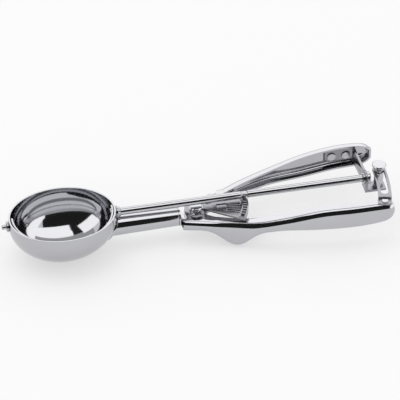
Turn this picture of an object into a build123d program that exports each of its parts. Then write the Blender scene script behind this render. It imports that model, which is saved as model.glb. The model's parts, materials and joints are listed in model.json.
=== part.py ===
from build123d import *
import os
from math import asin, cos, degrees, pi, radians, sin

# Lever ice cream scoop. X runs from the bowl to the handle ends, Y to the fixed handle, Z up.
# The origin lies on the table, right under the lever's pivot. Sizes are in millimetres.
# The bowl, the neck and one handle are fixed. The other handle is the lever: it turns about a
# vertical rivet and carries a crown-toothed sector, which turns the wiper's rod by its pinion.

# Bowl, a spheroid round the rod's axis, cut off a little above that axis
bowl_x = -80.0
bowl_half_length = 32.0
bowl_radius = 25.0
bowl_wall = 1.0
rim_rise = 4.0
rod_z = bowl_radius
rim_z = rod_z + rim_rise

# Clearances
running = 0.05
seat_gap = 0.02
face_gap = 0.1
wiper_gap = 0.35

# Wiper and its rod
blade_width = 10.0
blade_thickness = 1.0
blade_rest_angle = 8.0
rod_radius = 2.25
journal_radius = 2.0
pin_radius = 1.5
pin_length = 4.0
rod_end_x = 106.0
rod_cap_radius = 3.6
rod_cap_length = 2.0

# Bushes in the bowl's two ends
bush_wall = 0.85
bush_flange = 0.8
head_length = 1.0
bush_flange_length = 1.0
bush_length = 3.4

# Neck tube
neck_drop = 9.9
neck_front_radius = 6.4
neck_rear_radius = 5.6
neck_wall = 1.0
neck_front_x = -47.5
neck_rear_x = -11.0
saddle_radius = 8.6
saddle_thickness = 1.2
saddle_top_drop = 4.3

# Handles, pressed channels: places along X, half spread of the web, heights from the rod's axis
sheet = 1.2
plan_points = [(-10, 8.4), (10, 14.2), (30, 21.7), (50, 25.8), (70, 28.8), (90, 31.2)]
top_points = [(10, -8.1), (30, -6.6), (50, -2.9), (70, 1.2), (90, 2.6)]
bottom_points = [(38, -13.0), (50, -12.0), (70, -12.5), (90, -11.8)]
bottom_front = -15.4
bottom_rear = -10.2
handle_end_x = 113.4
fixed_front_x = 7.5
lever_front_x = -9.3
flange_depth = 7.5
end_outer_radius = 2.4
end_inner_radius = 4.8
finger_stop_x = 21.0
finger_stop_points = [(10.5, -14.4), (6.5, -18.6), (0, -23.6), (-7.5, -20.8), (-12, -17.2)]
finger_stop_front = 18.0

# Pivot
pivot_radius = 2.5
pivot_head_radius = 3.8
pivot_head_height = 1.1
ear_radius = 7.0
boss_radius = 5.0
collar_length = 1.0
washer_radius = 4.2
washer_thickness = 0.8
rivet_radius = 1.5
rivet_head_radius = 2.6
rivet_head_height = 0.8

# Crown sector and pinion
module = 0.7
pinion_teeth = 6
crown_full_teeth = 83
crown_first_tooth = -7
crown_last_tooth = 1
crown_face = 2.4
pinion_overhang = 0.8
crown_addendum = 0.5
crown_dedendum = 0.95
tooth_backlash = 0.2
crown_flank_angle = 24.0
sector_plate = 1.4
sector_rim_width = 4.0
sector_margin_angle = 3.0
lever_stroke = 10.5

# Return spring between the two webs
spring_x = 26.5
spring_drop = 10.6
spring_radius = 1.8
spring_wire = 0.45
spring_turns = 10
spring_peg_radius = 1.1
spring_peg_length = 4.0

# Rear bracket, guide post and guide strip
bracket_x = 102.4
bracket_thickness = 1.5
bracket_eye_radius = 4.8
bracket_eye_drop = 8.2
bracket_tab_x = 85.4
bracket_tongue_half = 4.0
rod_bush_wall = 1.3
rod_bush_overhang = 1.0
post_x = 111.3
post_radius = 2.0
post_spool_radius = 2.9
post_spool_rise = 4.05
post_top_rise = 8.4
post_nut_radius = 4.3
post_nut_height = 1.0
guide_rise = 4.15
guide_thickness = 1.0
guide_width = 8.0
guide_slot_gap = 0.3
guide_foot_angle = 15.5
guide_rivet_radius = 1.1
guide_rivet_head = 1.9
guide_riser_angle = 12.6
post_spring_wire = 0.45
post_spring_turns = 2.5

# Values worked out from the sizes above
rod_axis = Axis((0, 0, rod_z), (1, 0, 0))
inner_half_length = bowl_half_length - bowl_wall
inner_radius = bowl_radius - bowl_wall
front_pole_x = bowl_x - bowl_half_length
rear_pole_x = bowl_x + bowl_half_length
pitch_radius = module * pinion_teeth / 2
crown_radius = module * crown_full_teeth / 2
crown_pitch_angle = 360 / crown_full_teeth
pinion_tip = pitch_radius + module
pinion_root = pitch_radius - 1.25 * module
ear_top = rod_z + top_points[0][1]
ear_bottom = rod_z + bottom_front
boss_top = ear_top - sheet - face_gap
boss_bottom = ear_bottom + sheet + face_gap
neck_z = rod_z - neck_drop
tooth_root_z = rod_z - pitch_radius - crown_dedendum
plate_top = rod_z - 4.3
plate_bottom = plate_top - sector_plate
saddle_lift = saddle_thickness + 2 * seat_gap
half_room = 2 * plan_points[-1][1]


def across_rod(x, z=rod_z):
    """A plane square to the rod, with its origin on the line y = 0 at height z."""
    return Plane(origin=(x, 0, z), x_dir=(0, 1, 0), z_dir=(1, 0, 0))


def along_rod(x, y=0.0):
    """An upright plane along the rod, facing -Y: local x runs along the rod and local y up."""
    return Plane(origin=(x, y, rod_z), x_dir=(1, 0, 0), z_dir=(0, -1, 0))


def spheroid(half_length, radius):
    """A solid of revolution round the rod, with the bowl's centre."""
    with BuildPart() as solid:
        with BuildSketch(along_rod(bowl_x)):
            Ellipse(half_length, radius)
            with Locations((0, -radius)):
                Rectangle(3 * half_length, 2 * radius, mode=Mode.SUBTRACT)
        revolve(axis=rod_axis)
    return solid.part


def spheroid_shell(half_length, radius, wall):
    """A closed shell of the bowl's form."""
    return spheroid(half_length, radius) - spheroid(half_length - wall, radius - wall)


def pierced_shell(half_length, radius, wall, holes, reach):
    """A shell of the bowl's form, as far from the rod as reach, with a round hole in each end."""
    with BuildPart() as shell:
        with BuildSketch(along_rod(bowl_x)):
            Ellipse(half_length, radius)
            Ellipse(half_length - wall, radius - wall, mode=Mode.SUBTRACT)
            Rectangle(3 * half_length, 2 * reach, mode=Mode.INTERSECT)
            with Locations((0, -radius)):
                Rectangle(3 * half_length, 2 * radius, mode=Mode.SUBTRACT)
            for side, hole_radius in zip((-1, 1), holes):
                with Locations((side * half_length, 0)):
                    Rectangle(2 * half_length, 2 * hole_radius, mode=Mode.SUBTRACT)
        revolve(axis=rod_axis)
    return shell.part


def height_on(points, x):
    """The height of a line through the points at x, for what seats on a sloping flange."""
    for (x0, z0), (x1, z1) in zip(points, points[1:]):
        if x <= x1:
            return z0 + (z1 - z0) * (x - x0) / (x1 - x0)
    return points[-1][1]


def band(inner, outer, start, end):
    """A slice of a flat ring about the pivot, between two angles in degrees."""
    def on(radius, angle):
        return (radius * cos(radians(angle)), radius * sin(radians(angle)))

    middle = (start + end) / 2
    with BuildSketch(Plane.XY, mode=Mode.PRIVATE) as slice_:
        with BuildLine():
            Line(on(inner, start), on(outer, start))
            ThreePointArc(on(outer, start), on(outer, middle), on(outer, end))
            Line(on(outer, end), on(inner, end))
            ThreePointArc(on(inner, end), on(inner, middle), on(inner, start))
        make_face()
    return slice_.sketch


def rivets(places, low, high):
    """Upright rivets with a flat head at each end, at the (x, y) places given."""
    with BuildPart() as group:
        with BuildSketch(Plane.XY.offset(low)):
            with Locations(*places):
                Circle(rivet_radius)
        extrude(amount=high - low)
        with BuildSketch(Plane.XY.offset(low - rivet_head_height)):
            with Locations(*places):
                Circle(rivet_head_radius)
        extrude(amount=rivet_head_height)
        with BuildSketch(Plane.XY.offset(high)):
            with Locations(*places):
                Circle(rivet_head_radius)
        extrude(amount=rivet_head_height)
    return group.part


def coil(start, direction, radius, wire, turns, length):
    """A coil spring from start along direction, its wire a round flattened to six sides."""
    with BuildPart() as spring:
        with BuildLine() as path:
            Helix(pitch=length / turns, height=length, radius=radius, center=start, direction=direction)
        with BuildSketch(Plane(origin=path.line @ 0, z_dir=path.line % 0)):
            RegularPolygon(wire, 6)
        sweep(is_frenet=True)
    return spring.part


def handle_side(front_x, inset, with_stop):
    """The web's outline seen from the side, drawn in on top and bottom by inset."""
    top = [(x, z - inset) for x, z in top_points]
    low = [(x, z + inset) for x, z in bottom_points]
    with BuildSketch(along_rod(0, half_room)) as side:
        with BuildLine():
            Line((front_x, bottom_front + inset), (front_x, top[0][1]))
            Line((front_x, top[0][1]), top[0])
            Spline(*top, tangents=((1, 0), (1, 0)))
            Line(top[-1], (handle_end_x, top[-1][1]))
            Line((handle_end_x, top[-1][1]), (handle_end_x, bottom_rear + inset))
            Spline((handle_end_x, bottom_rear + inset), *reversed(low))
            if with_stop:
                flat_end = finger_stop_x - finger_stop_front
                stop = [(finger_stop_x + x, z + inset) for x, z in finger_stop_points]
                Spline(low[0], *stop, (flat_end, bottom_front + inset), tangents=((-1, 0), (-1, 0)))
            else:
                flat_end = fixed_front_x + 8
                Spline(low[0], (flat_end, bottom_front + inset), tangents=((-1, -0.2), (-1, 0)))
            Line((flat_end, bottom_front + inset), (front_x, bottom_front + inset))
        make_face()
    return side.sketch


def handle_plan(front_x, outer_inset, depth, end_inset, turn):
    """The handle's band seen from above; turn is +1 for the fixed handle and -1 for the lever."""
    outer = [(x, turn * (y - outer_inset)) for x, y in plan_points]
    inner = [(x, turn * (y - depth)) for x, y in plan_points]
    end_x = handle_end_x - end_inset
    with BuildSketch(Plane.XY) as plan:
        with BuildLine():
            Spline(*outer, tangents=((1, turn * 0.24), (1, 0)))
            Line(outer[-1], (end_x, outer[-1][1]))
            Line((end_x, outer[-1][1]), (end_x, inner[-1][1]))
            Line((end_x, inner[-1][1]), inner[-1])
            Spline(*reversed(inner), tangents=((-1, 0), (-1, turn * -0.24)))
            Line(inner[0], outer[0])
        make_face()
        corners = plan.vertices().group_by(Axis.X)[-1].sort_by(Axis.Y)
        outside = corners[-1] if turn > 0 else corners[0]
        fillet(outside, end_outer_radius - end_inset)
        corners = plan.vertices().group_by(Axis.X)[-1].sort_by(Axis.Y)
        inside = corners[0] if turn > 0 else corners[-1]
        fillet(inside, end_inner_radius - end_inset)
        with Locations(((front_x + lever_front_x) / 2 - 5, 0)):
            Rectangle(front_x - lever_front_x + 10, 4 * half_room, mode=Mode.SUBTRACT)
    return plan.sketch


def handle_bar(front_x, side_x, outer_inset, depth, side_inset, turn, with_stop):
    """A solid with the plan's band from above and the web's outline from the side."""
    with BuildPart() as upright:
        with BuildSketch(Plane.XY):
            add(handle_plan(front_x, outer_inset, depth, side_inset, turn))
        extrude(amount=3 * rod_z)
    with BuildPart() as across:
        extrude(handle_side(side_x, side_inset, with_stop), amount=2 * half_room, dir=(0, -1, 0))
    return upright.part & across.part


def channel(front_x, turn, with_stop):
    """A pressed channel that opens towards the rod, with a closed rear end."""
    bar = handle_bar(front_x, front_x, 0, flange_depth, 0, turn, with_stop)
    hollow = handle_bar(front_x, front_x - 5, sheet, flange_depth + 3, sheet, turn, with_stop)
    return bar - hollow


def head_depth(radius):
    """How far inside the bowl's pole a flat head of this radius clears the curved blade."""
    inside = blade_radius - blade_thickness
    curve = (blade_half_length - blade_thickness) * (1 - cos(asin(radius / inside)))
    return bowl_wall + wiper_gap + blade_thickness + curve + seat_gap


os.makedirs("parts", exist_ok=True)


def keep(piece, name):
    """Names a finished piece and writes it."""
    piece.label = name
    export_step(piece, f"parts/{name}.step")


# Bowl: the lower part of the shell, with a hole in each end for a bush
bush_hole = journal_radius + running + bush_wall
pin_bush_hole = pin_radius + running + bush_wall
bowl_holes = (pin_bush_hole + seat_gap, bush_hole + seat_gap)
bowl_shell = pierced_shell(bowl_half_length, bowl_radius, bowl_wall, bowl_holes, 2 * bowl_radius)
with BuildPart() as bowl:
    add(bowl_shell)
    split(bisect_by=Plane.XY.offset(rim_z), keep=Keep.BOTTOM)
keep(bowl.part, "bowl")

# Bushes: a flanged sleeve in each end wall, the flange outside
with BuildPart() as rear_bush:
    with BuildSketch(across_rod(rear_pole_x - bowl_wall)):
        Circle(bush_hole)
    extrude(amount=bush_length)
    with BuildSketch(across_rod(rear_pole_x + seat_gap)):
        Circle(bush_hole + bush_flange)
    extrude(amount=bush_flange_length)
    with BuildSketch(across_rod(rear_pole_x - bowl_wall)):
        Circle(journal_radius + running)
    extrude(amount=bush_length, mode=Mode.SUBTRACT)
keep(rear_bush.part, "rear_bush")

with BuildPart() as front_bush:
    with BuildSketch(across_rod(front_pole_x + bowl_wall)):
        Circle(pin_bush_hole)
    extrude(amount=-bush_length + 1)
    with BuildSketch(across_rod(front_pole_x - seat_gap)):
        Circle(pin_bush_hole + bush_flange)
    extrude(amount=-bush_flange_length)
    with BuildSketch(across_rod(front_pole_x + bowl_wall)):
        Circle(pin_radius + running)
    extrude(amount=-bush_length, mode=Mode.SUBTRACT)
keep(front_bush.part, "front_bush")

# Wiper blade: a strip of an inner shell with round ends, turned to its resting side
blade_half_length = inner_half_length - wiper_gap
blade_radius = inner_radius - wiper_gap
blade_holes = (pin_radius + seat_gap, journal_radius + seat_gap)
blade_size = (blade_half_length, blade_radius, blade_thickness)
blade_low = pierced_shell(*blade_size, blade_holes, 2 * blade_radius)
blade_ears = pierced_shell(*blade_size, blade_holes, blade_width / 2)
with BuildPart() as blade_strip:
    add(blade_low)
    split(bisect_by=Plane.XY.offset(rod_z), keep=Keep.BOTTOM)
    split(bisect_by=Plane.XZ.offset(blade_width / 2), keep=Keep.BOTTOM)
    split(bisect_by=Plane.XZ.offset(-blade_width / 2), keep=Keep.TOP)
with BuildPart() as blade_tops:
    add(blade_ears)
    split(bisect_by=Plane.XY.offset(rod_z), keep=Keep.TOP)
with BuildPart() as wiper_blade:
    add(blade_strip.part)
    add(blade_tops.part)
blade_at_rest = wiper_blade.part.rotate(rod_axis, blade_rest_angle - 90)
keep(blade_at_rest, "wiper_blade")

# Front journal: the wiper's pin, headed inside the bowl
pin_head_x = front_pole_x + head_depth(pin_radius + bush_flange)
with BuildPart() as front_journal:
    with BuildSketch(across_rod(front_pole_x - pin_length)):
        Circle(pin_radius)
    extrude(amount=pin_head_x - front_pole_x + pin_length)
    chamfer(front_journal.edges().sort_by(Axis.X)[0], pin_radius / 4)
    with BuildSketch(across_rod(pin_head_x)):
        Circle(pin_radius + bush_flange)
    extrude(amount=head_length)
keep(front_journal.part, "front_journal")

# Rod: headed inside the bowl, with the pinion's teeth cut in it over the crown sector
rod_front_x = rear_pole_x - head_depth(journal_radius + bush_flange)
pinion_start = crown_radius - crown_face / 2 - pinion_overhang
pinion_length = crown_face + 2 * pinion_overhang
tooth_half = degrees((pi * module - tooth_backlash) / 4 / pitch_radius)
with BuildPart() as wiper_rod:
    with BuildSketch(across_rod(rod_front_x - head_length)):
        Circle(journal_radius + bush_flange)
    extrude(amount=head_length)
    with BuildSketch(across_rod(rod_front_x)):
        Circle(journal_radius)
    extrude(amount=rear_pole_x + bush_length - rod_front_x)
    with BuildSketch(across_rod(rear_pole_x + bush_length - bowl_wall + face_gap)):
        Circle(rod_radius)
    extrude(amount=pinion_start - rear_pole_x - bush_length + bowl_wall - face_gap)
    with BuildSketch(across_rod(pinion_start + pinion_length)):
        Circle(rod_radius)
    extrude(amount=rod_end_x - pinion_start - pinion_length)
    with BuildSketch(across_rod(pinion_start)):
        Circle(pinion_root)
        with PolarLocations(0, pinion_teeth):
            with BuildLine():
                root_half = radians(1.55 * tooth_half)
                tip_half = radians(0.42 * tooth_half)
                inside = pinion_root * 0.9
                Polyline(
                    (inside * cos(root_half), inside * sin(root_half)),
                    (pitch_radius * cos(radians(tooth_half)), pitch_radius * sin(radians(tooth_half))),
                    (pinion_tip * cos(tip_half), pinion_tip * sin(tip_half)),
                    (pinion_tip * cos(tip_half), -pinion_tip * sin(tip_half)),
                    (pitch_radius * cos(radians(tooth_half)), -pitch_radius * sin(radians(tooth_half))),
                    (inside * cos(root_half), -inside * sin(root_half)),
                    close=True,
                )
            make_face()
    extrude(amount=pinion_length)
keep(wiper_rod.part, "wiper_rod")

with BuildPart() as rod_cap:
    with BuildSketch(across_rod(rod_end_x - rod_cap_length)):
        Circle(rod_cap_radius)
        Circle(rod_radius + seat_gap, mode=Mode.SUBTRACT)
    extrude(amount=rod_cap_length)
keep(rod_cap.part, "rod_cap")

# Neck tube: a tapered tube under the rod, cut to the bowl
saddle_outside = spheroid(bowl_half_length + saddle_lift, bowl_radius + saddle_lift)
with BuildPart() as neck_tube:
    with BuildSketch(across_rod(neck_front_x - 6, neck_z)):
        Circle(neck_front_radius)
    with BuildSketch(across_rod(neck_rear_x, neck_z)):
        Circle(neck_rear_radius)
    loft()
    with BuildSketch(across_rod(neck_front_x - 6, neck_z)):
        Circle(neck_front_radius - neck_wall)
    with BuildSketch(across_rod(neck_rear_x, neck_z)):
        Circle(neck_rear_radius - neck_wall)
    loft(mode=Mode.SUBTRACT)
    add(saddle_outside, mode=Mode.SUBTRACT)
keep(neck_tube.part, "neck_tube")


# Saddle: a plate pressed to the bowl's form, on which the neck tube is brazed
saddle_top_z = rod_z - saddle_top_drop
with BuildPart() as saddle_patch:
    with BuildSketch(across_rod(bowl_x, neck_z)):
        Circle(saddle_radius)
        with Locations((0, saddle_top_z - neck_z + saddle_radius)):
            Rectangle(4 * saddle_radius, 2 * saddle_radius, mode=Mode.SUBTRACT)
    extrude(amount=2 * bowl_half_length)
saddle_shell = spheroid_shell(
    bowl_half_length + saddle_lift - seat_gap, bowl_radius + saddle_lift - seat_gap, saddle_thickness,
)
with BuildPart() as bowl_saddle:
    add(saddle_shell)
    add(saddle_patch.part, mode=Mode.INTERSECT)
keep(bowl_saddle.part, "bowl_saddle")

# Yoke: a plug in the tube's rear end, a boss for the pivot and an arm for the fixed handle
fixed_rivets = [(10.5, 10.0), (17.0, 12.5)]
plug_radius = neck_rear_radius - neck_wall - running
with BuildPart() as pivot_yoke:
    with BuildSketch(across_rod(neck_rear_x - 7, neck_z)):
        Circle(plug_radius)
    extrude(amount=8)
    with BuildSketch(across_rod(neck_rear_x + seat_gap, neck_z)):
        Circle(neck_rear_radius)
        with Locations((0, boss_bottom - neck_z - neck_rear_radius)):
            Rectangle(20, 2 * neck_rear_radius, mode=Mode.SUBTRACT)
    extrude(amount=collar_length)
    with BuildSketch(Plane.XY.offset(boss_bottom)):
        Circle(boss_radius)
        with Locations((neck_rear_x / 2, 0)):
            Rectangle(-neck_rear_x - 0.2, 8)
        Polygon((-2, 4.5), (7.9, 12.0), (20, 16.6), (20, 9.5), (6, 3), (3, 0), align=None)
    extrude(amount=boss_top - boss_bottom)
    with BuildSketch(Plane.XY.offset(boss_bottom)):
        Circle(pivot_radius + seat_gap)
        with Locations(*fixed_rivets):
            Circle(rivet_radius + seat_gap)
    extrude(amount=boss_top - boss_bottom, mode=Mode.SUBTRACT)
keep(pivot_yoke.part, "pivot_yoke")

# Pivot rivet with a washer under each head
washer_low_z = ear_bottom - running - washer_thickness
washer_high_z = plate_bottom + running
with BuildPart() as pivot_rivet:
    with BuildSketch(Plane.XY.offset(washer_low_z - seat_gap)):
        Circle(pivot_radius)
    extrude(amount=washer_high_z + washer_thickness - washer_low_z + 2 * seat_gap)
    with BuildSketch(Plane.XY.offset(washer_high_z + washer_thickness + seat_gap)):
        Circle(pivot_head_radius)
    extrude(amount=pivot_head_height)
    with BuildSketch(Plane.XY.offset(washer_low_z - seat_gap - pivot_head_height)):
        Circle(pivot_head_radius)
    extrude(amount=pivot_head_height)
    head_edges = pivot_rivet.edges().filter_by(GeomType.CIRCLE).sort_by(Axis.Z)
    chamfer([head_edges[0], head_edges[-1]], pivot_head_height / 2)
keep(pivot_rivet.part, "pivot_rivet")

with BuildPart() as pivot_washers:
    for low in (washer_low_z, washer_high_z):
        with BuildSketch(Plane.XY.offset(low)):
            Circle(washer_radius)
            Circle(pivot_radius + running, mode=Mode.SUBTRACT)
        extrude(amount=washer_thickness)
keep(pivot_washers.part, "pivot_washers")

# Fixed handle, with a peg for the return spring
web_at_spring = height_on(plan_points, spring_x) - sheet / 2
peg_plane = Plane(origin=(spring_x, 0, rod_z - spring_drop), x_dir=(1, 0, 0), z_dir=(0, 1, 0))
fixed_tab_z = rod_z + (top_points[-1][1] + bottom_rear) / 2
tab_rivet_xs = (bracket_tab_x + 4, bracket_x - 4)
with BuildPart() as fixed_handle:
    add(channel(fixed_front_x, 1, False))
    with BuildSketch(peg_plane.offset(web_at_spring)):
        Circle(spring_peg_radius)
    extrude(amount=-spring_peg_length)
    with BuildSketch(Plane.XY):
        with Locations(*fixed_rivets):
            Circle(rivet_radius + seat_gap)
    extrude(amount=3 * rod_z, mode=Mode.SUBTRACT)
    with BuildSketch(Plane.XZ.offset(-plan_points[-1][1] - 5)):
        with Locations(*[(x, fixed_tab_z) for x in tab_rivet_xs]):
            Circle(rivet_radius + seat_gap)
    extrude(amount=10, mode=Mode.SUBTRACT)
keep(fixed_handle.part, "fixed_handle")

fixed_rivet_top = rod_z + height_on(top_points, fixed_rivets[-1][0] + rivet_head_radius) + 0.15
keep(rivets(fixed_rivets, ear_bottom - seat_gap, fixed_rivet_top), "fixed_handle_rivets")

# Lever handle: the channel with a finger stop, and two ears that clasp the yoke's boss
sector_rivet_radius = 0.9
sector_rivet_circle = 5.5
sector_rivet_places = [
    (sector_rivet_circle * cos(radians(a)), sector_rivet_circle * sin(radians(a))) for a in (-60, -120)
]
guide_rivet_places = [
    (post_x * cos(radians(-a)), post_x * sin(radians(-a)))
    for a in (guide_foot_angle - 1.2,)
]
with BuildPart() as lever_handle:
    add(channel(lever_front_x, -1, True))
    for low in (ear_bottom, ear_top - sheet):
        with BuildSketch(Plane.XY.offset(low)):
            Circle(ear_radius)
            Polygon((-9.3, -7.8), (-6.6, 0), (6.6, 0), (15, -9), (15, -15.4), (2, -11), align=None)
        extrude(amount=sheet)
    with BuildSketch(Plane.XY):
        Circle(pivot_radius + running)
    extrude(amount=3 * rod_z, mode=Mode.SUBTRACT)
    with BuildSketch(Plane.XY.offset(ear_top - sheet)):
        with Locations(*sector_rivet_places):
            Circle(sector_rivet_radius + seat_gap)
    extrude(amount=2 * sheet, mode=Mode.SUBTRACT)
    with BuildSketch(peg_plane.offset(-web_at_spring)):
        Circle(spring_peg_radius)
    extrude(amount=spring_peg_length)
    with BuildSketch(Plane.XY.offset(rod_z)):
        with Locations(*guide_rivet_places):
            Circle(guide_rivet_radius + seat_gap)
    extrude(amount=2 * rod_z, mode=Mode.SUBTRACT)
keep(lever_handle.part, "lever_handle")

# Crown sector: a plate on a hub, with upright teeth on its rim
sector_start = crown_first_tooth * crown_pitch_angle - sector_margin_angle
sector_end = crown_last_tooth * crown_pitch_angle + sector_margin_angle
rim_outer = crown_radius + sector_rim_width / 2
rim_inner = crown_radius - sector_rim_width / 2
hub_inner = washer_radius + 0.4
window_inner = 12.0
tooth_half_width = (pi * module - tooth_backlash) / 4
slope = sin(radians(crown_flank_angle)) / cos(radians(crown_flank_angle))
with BuildPart() as sector_gear:
    with BuildSketch(Plane.XY.offset(ear_top + seat_gap)):
        Circle(ear_radius)
    extrude(amount=plate_bottom - ear_top - seat_gap)
    with BuildSketch(Plane.XY.offset(plate_bottom)):
        add(band(hub_inner, rim_outer, sector_start, sector_end))
        add(band(window_inner, rim_inner - 1, sector_start + 9, sector_end - 9), mode=Mode.SUBTRACT)
    extrude(amount=sector_plate)
    with BuildSketch(Plane.XY.offset(plate_bottom)):
        add(band(rim_inner, rim_outer, sector_start, sector_end))
    extrude(amount=tooth_root_z - plate_bottom)
    for number in range(crown_first_tooth, crown_last_tooth + 1):
        angle = radians(number * crown_pitch_angle)
        tooth_plane = Plane(
            origin=((crown_radius - crown_face / 2) * cos(angle),
                    (crown_radius - crown_face / 2) * sin(angle), rod_z - pitch_radius),
            x_dir=(-sin(angle), cos(angle), 0),
            z_dir=(cos(angle), sin(angle), 0),
        )
        with BuildSketch(tooth_plane):
            top_half = tooth_half_width - crown_addendum * slope
            root_half = tooth_half_width + crown_dedendum * slope
            Polygon(
                (-root_half, -crown_dedendum), (root_half, -crown_dedendum),
                (top_half, crown_addendum), (-top_half, crown_addendum), align=None,
            )
        extrude(amount=crown_face)
    with BuildSketch(Plane.XY):
        Circle(pivot_radius + running)
        with Locations(*sector_rivet_places):
            Circle(sector_rivet_radius + seat_gap)
    extrude(amount=3 * rod_z, mode=Mode.SUBTRACT)
keep(sector_gear.part, "sector_gear")

with BuildPart() as sector_rivets:
    with BuildSketch(Plane.XY.offset(ear_top - sheet)):
        with Locations(*sector_rivet_places):
            Circle(sector_rivet_radius)
    extrude(amount=plate_bottom - ear_top + sheet + seat_gap)
    with BuildSketch(Plane.XY.offset(plate_bottom + seat_gap)):
        with Locations(*sector_rivet_places):
            Circle(sector_rivet_radius + 0.3)
    extrude(amount=rivet_head_height)
keep(sector_rivets.part, "sector_rivets")

# Return spring, pressed between the two webs
spring_half = web_at_spring - sheet / 2 - 1.1
spring_start = (spring_x, -spring_half, rod_z - spring_drop)
keep(
    coil(spring_start, (0, 1, 0), spring_radius, spring_wire, spring_turns, 2 * spring_half),
    "return_spring",
)

# Rear bracket: a plate round the rod, a tab in the fixed handle's channel and a tongue for the post
channel_top = rod_z + top_points[-1][1] - sheet - face_gap
channel_floor = rod_z + bottom_rear + sheet + 3 * face_gap
web_inner = height_on(plan_points, bracket_tab_x) - sheet - face_gap
with BuildPart() as rear_bracket:
    with BuildSketch(across_rod(bracket_x)):
        Circle(bracket_eye_radius)
        with Locations((0, -bracket_eye_drop / 2)):
            Rectangle(2 * bracket_tongue_half, bracket_eye_drop)
        Polygon(
            (0, -bracket_eye_radius), (web_inner - 4, channel_floor - rod_z),
            (web_inner, channel_floor - rod_z), (web_inner, channel_top - rod_z),
            (web_inner - 4, channel_top - rod_z), (4, 3.5), (0, bracket_eye_radius * 0.6), align=None,
        )
    extrude(amount=bracket_thickness)
    with Locations((
        (bracket_tab_x + bracket_x + bracket_thickness) / 2,
        web_inner - sheet / 2,
        (channel_top + channel_floor) / 2 + 0.6,
    )):
        Box(bracket_x + bracket_thickness - bracket_tab_x, sheet, channel_top - channel_floor - 1.2)
    tongue_end = post_x + bracket_tongue_half
    with Locations(((bracket_x + tongue_end) / 2, 0, rod_z - bracket_eye_drop + bracket_thickness / 2)):
        Box(tongue_end - bracket_x, 2 * bracket_tongue_half, bracket_thickness)
    rod_hole = rod_radius + running + rod_bush_wall
    with BuildSketch(across_rod(bracket_x - 1)):
        Circle(rod_hole + seat_gap)
    extrude(amount=bracket_thickness + 2, mode=Mode.SUBTRACT)
    with BuildSketch(Plane.XY):
        with Locations((post_x, 0)):
            Circle(post_radius + seat_gap)
    extrude(amount=rod_z, mode=Mode.SUBTRACT)
    with BuildSketch(Plane.XZ.offset(-plan_points[-1][1] - 5)):
        with Locations(*[(x, fixed_tab_z) for x in tab_rivet_xs]):
            Circle(rivet_radius + seat_gap)
    extrude(amount=12, mode=Mode.SUBTRACT)
keep(rear_bracket.part, "rear_bracket")

with BuildPart() as bracket_rivets:
    web_outer_y = plan_points[-1][1]
    tab_inner_y = web_inner - sheet
    for y, radius, length in (
        (tab_inner_y, rivet_radius, web_outer_y - tab_inner_y + 0.1),
        (web_outer_y + 0.1, rivet_head_radius, rivet_head_height),
        (tab_inner_y - seat_gap - rivet_head_height, rivet_head_radius, rivet_head_height + seat_gap),
    ):
        with BuildSketch(Plane.XZ.offset(-y)):
            with Locations(*[(x, fixed_tab_z) for x in tab_rivet_xs]):
                Circle(radius)
        extrude(amount=-length)
keep(bracket_rivets.part, "bracket_rivets")

with BuildPart() as rod_bush:
    with BuildSketch(across_rod(bracket_x - rod_bush_overhang)):
        Circle(rod_hole)
        Circle(rod_radius + running, mode=Mode.SUBTRACT)
    extrude(amount=rod_end_x - rod_cap_length - face_gap - bracket_x + rod_bush_overhang)
keep(rod_bush.part, "rod_bush")

# Guide post on the bracket's tongue, with a spring and a nut on its top
spool_bottom = rod_z - bracket_eye_drop + bracket_thickness + seat_gap
post_top = rod_z + post_top_rise
with BuildPart() as guide_post:
    with BuildSketch(Plane.XY.offset(rod_z - bracket_eye_drop - seat_gap)):
        with Locations((post_x, 0)):
            Circle(post_radius)
    extrude(amount=post_top - rod_z + bracket_eye_drop + seat_gap)
    with BuildSketch(Plane.XY.offset(spool_bottom)):
        with Locations((post_x, 0)):
            Circle(post_spool_radius)
    extrude(amount=rod_z + post_spool_rise - spool_bottom)
    with BuildSketch(Plane.XY.offset(rod_z - bracket_eye_drop - seat_gap - rivet_head_height)):
        with Locations((post_x, 0)):
            Circle(post_spool_radius)
    extrude(amount=rivet_head_height)
keep(guide_post.part, "guide_post")

with BuildPart() as post_nut:
    with BuildSketch(Plane.XY.offset(post_top + seat_gap)):
        with Locations((post_x, 0)):
            Circle(post_nut_radius)
    extrude(amount=post_nut_height)
    chamfer(post_nut.edges().sort_by(Axis.Z)[-1], post_nut_height / 2)
keep(post_nut.part, "post_nut")

guide_top = rod_z + guide_rise + guide_thickness
post_spring_room = post_top - guide_top - 2 * post_spring_wire - 2 * face_gap
post_spring_start = (post_x, 0, guide_top + post_spring_wire + face_gap)
post_spring_radius = post_radius + post_spring_wire + 0.35
keep(
    coil(
        post_spring_start, (0, 0, 1), post_spring_radius, post_spring_wire, post_spring_turns,
        post_spring_room,
    ),
    "post_spring",
)

# Guide strip on the lever's end: its slot runs round the post, and its ends stop the lever
guide_outer = post_x + guide_width / 2
guide_inner = post_x - guide_width / 2
slot_half = post_radius + guide_slot_gap
lever_top = rod_z + top_points[-1][1] + seat_gap


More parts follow.
